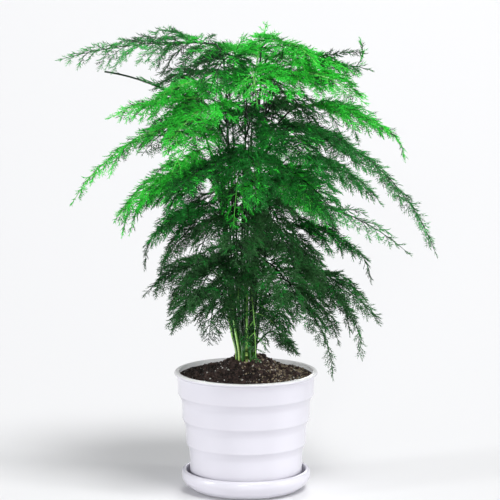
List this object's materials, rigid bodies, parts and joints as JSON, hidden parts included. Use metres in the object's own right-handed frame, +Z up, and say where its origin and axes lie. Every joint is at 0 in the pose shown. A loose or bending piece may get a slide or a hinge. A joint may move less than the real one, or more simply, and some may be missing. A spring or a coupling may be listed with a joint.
{
  "type": "lace fern in a pot",
  "caption": "Feathery lace fern with thin upright canes and tiers of drooping fronds, growing in a banded white pot that stands in its saucer.",
  "frame": {"origin": "centre of the saucer's flat underside, on the pot's axis", "axes": "+Z up along the pot's axis, +X to the right and -Y to the front as the picture shows the plant"},
  "size_m": [0.4008, 0.2934, 0.5023],
  "materials": {
    "pot": "gloss",
    "saucer": "gloss",
    "soil": "matte",
    "bright_foliage": "satin",
    "green_foliage": "satin",
    "dark_foliage": "satin"
  },
  "bodies": {
    "root": {"saucer": "saucer", "pot": "pot", "soil": "soil", "leafy_stem_top_left": "green_foliage", "leafy_stem_top_left_front": "bright_foliage", "leafy_stem_crown": "bright_foliage", "leafy_stem_top_right_front": "bright_foliage", "leafy_stem_top_right": "green_foliage", "leafy_stem_top_front": "bright_foliage", "leafy_stem_top_bright_right": "bright_foliage", "leafy_stem_top_back": "green_foliage", "leafy_stem_top_back_left": "green_foliage", "leafy_stem_top_back_right": "green_foliage", "leafy_stem_right": "green_foliage", "leafy_stem_hanging_right": "dark_foliage", "leafy_stem_back_right": "green_foliage", "leafy_stem_back": "green_foliage", "leafy_stem_back_left": "green_foliage", "leafy_stem_left": "bright_foliage", "leafy_stem_low_left": "dark_foliage", "leafy_stem_hanging_left": "bright_foliage", "leafy_stem_front_left": "bright_foliage", "leafy_stem_front": "bright_foliage", "leafy_stem_front_right": "green_foliage", "leafy_stem_low_right": "dark_foliage", "leafy_stem_right_drooping": "dark_foliage", "bare_shoot": "dark_foliage"}
  },
  "joints": []
}
